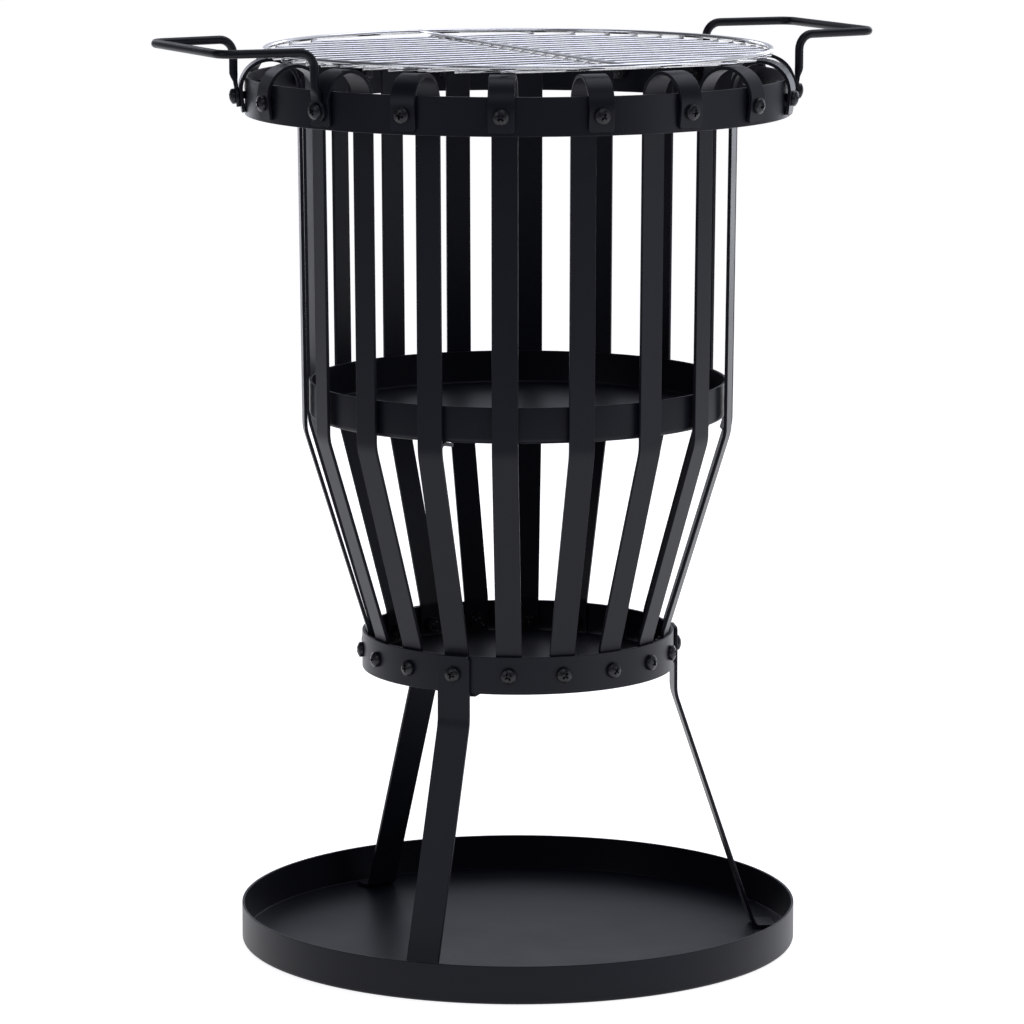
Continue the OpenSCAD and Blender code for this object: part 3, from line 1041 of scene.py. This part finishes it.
every = range(1, BAR_COUNT + 1)
leg_numbers = tuple(LEG_STRIPS.values())
low_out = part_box("lower_ring")[1].x + SEAT
fasteners("lower_ring_screws", screw(10 * MM),
          [low_place(n, low_out) for n in every if n not in leg_numbers])
fasteners("leg_screws", screw(12 * MM),
          [low_place(n, low_out + LEG_THICK + SEAT) for n in leg_numbers])
fasteners("lower_ring_nuts", nut,
          [low_place(n, STRIP_FACE - STRIP_THICK - NUT_TALL - SEAT) for n in every])
fasteners("top_ring_screws", screw(12 * MM),
          [top_place(n, STRIP_THICK / 2 + SEAT) for n in every if n not in HANDLE_STRIPS])
fasteners("handle_screws", screw(14 * MM),
          [top_place(n, STRIP_THICK / 2 + EYE_THICK + 2 * SEAT) for n in HANDLE_STRIPS])
fasteners("top_ring_nuts", nut, [top_place(n, -TOP_NUT_DROP) for n in every])
print("36 screws and 36 nuts are in place")

# %% [markdown]
# ## Floor and light
# A black object shows mostly what it mirrors. Two soft boxes stand behind it to the left and
# right, so that the outermost bars get a pale edge, and a third hangs above the grate. Two more
# stand in front, at different heights, and the last is at the right, near the ground. The
# room is bright behind the object and dim behind the camera. The floor's glow is painted light,
# white under the object, and painted shade darkens its colour and glow in front of the object
# and at its sides, where the black steel would mirror it.

# %% Floor, soft boxes and room light
COOL_WHITE = (0.86, 0.89, 1.0)
BRIGHT_SIDE = 25
FLOOR_HALF = 14
FLOOR_DROP = 0.2 * MM
FLOOR_GLOW = 0.85
AIM_HEIGHT = 0.27
DIM_ROOM = 0.08
BRIGHT_ROOM = 0.75

floor_points = [Vector((x * FLOOR_HALF, y * FLOOR_HALF, cad_low.z - FLOOR_DROP))
                for x, y in ((-1, -1), (1, -1), (1, 1), (-1, 1))]
floor = scratch_object("floor", floor_points, [[0, 1, 2, 3]])
floor_finish = Finish("glowing_floor_with_painted_shade")


def floor_along(direction):
    return floor_finish.node("ShaderNodeVectorMath", {"operation": "DOT_PRODUCT"},
                             {0: floor_finish.place(), 1: direction}, "Value")


# Masks for the painted shade on the floor: darker in front of the object and at its sides.
forward = floor_along(outward(CAMERA_ANGLE))
off_middle = floor_finish.node("ShaderNodeMath", {"operation": "ABSOLUTE"},
                               {0: floor_along(sideways(CAMERA_ANGLE)) - 0.35})
in_front = floor_finish.ramp(floor_along(outward(CAMERA_ANGLE - BRIGHT_SIDE)), 0.4, 1.6)
at_side = floor_finish.ramp(off_middle + forward * 0.12, 0.8, 2.1) * 0.75
painted_shade = in_front + at_side - in_front * at_side
# Painted light and shade: the floor glows white, and its colour and glow are painted darker in
# front of the object and at its sides.
floor.data.materials.append(floor_finish.coat(
    Base_Color=floor_finish.mix(painted_shade, grey(0.8), grey(0.2)), Roughness=0.9,
    Emission_Color=floor_finish.mix(painted_shade, grey(1), grey(0.2, 1.2)),
    Emission_Strength=FLOOR_GLOW))


def soft_box(name, away, aside, height, size, power):
    lamp = bpy.data.lights.new(name, "AREA")
    lamp.shape = "RECTANGLE"
    lamp.size, lamp.size_y = size
    lamp.energy = power
    lamp.color = COOL_WHITE
    light = bpy.data.objects.new(name, lamp)
    bpy.context.collection.objects.link(light)
    light.visible_camera = False
    light.location = outward(CAMERA_ANGLE) * away + sideways(CAMERA_ANGLE) * aside + UP * height
    towards = Vector((0, 0, AIM_HEIGHT)) - light.location
    light.rotation_euler = towards.to_track_quat("-Z", "Y").to_euler()


SOFT_BOXES = {
    "left_box": (-2.0, -1.0, 0.7, (0.6, 1.3), 6),
    "right_box": (-2.0, 1.0, 0.7, (0.6, 1.3), 5),
    "top_box": (-0.6, 0.5, 2.2, (1.8, 1.8), 13),
    "front_box": (1.9, -1.9, 1.35, (1.2, 1.2), 8),
    "high_box": (1.9, 0.4, 2.2, (1.8, 1.0), 9),
    "side_box": (0.9, 2.1, 0.4, (1.1, 1.3), 6),
}
for box_name, placing in SOFT_BOXES.items():
    soft_box(box_name, *placing)

world = bpy.data.worlds.new("room")
bpy.context.scene.world = world
world.use_nodes = True
room = world.node_tree
direction = room.nodes.new("ShaderNodeTexCoord")
facing = room.nodes.new("ShaderNodeVectorMath")
facing.operation = "DOT_PRODUCT"
facing.inputs[1].default_value = -outward(CAMERA_ANGLE - BRIGHT_SIDE)
brightness = room.nodes.new("ShaderNodeMapRange")
brightness.inputs["From Min"].default_value = 0.1
brightness.inputs["From Max"].default_value = 1.0
brightness.inputs["To Min"].default_value = DIM_ROOM
brightness.inputs["To Max"].default_value = BRIGHT_ROOM
lit = room.nodes["Background"]
lit.inputs["Color"].default_value = (*COOL_WHITE, 1)
room.links.new(direction.outputs["Generated"], facing.inputs[0])
room.links.new(facing.outputs["Value"], brightness.inputs["Value"])
room.links.new(brightness.outputs["Result"], lit.inputs["Strength"])
bpy.context.scene.view_settings.view_transform = "Standard"
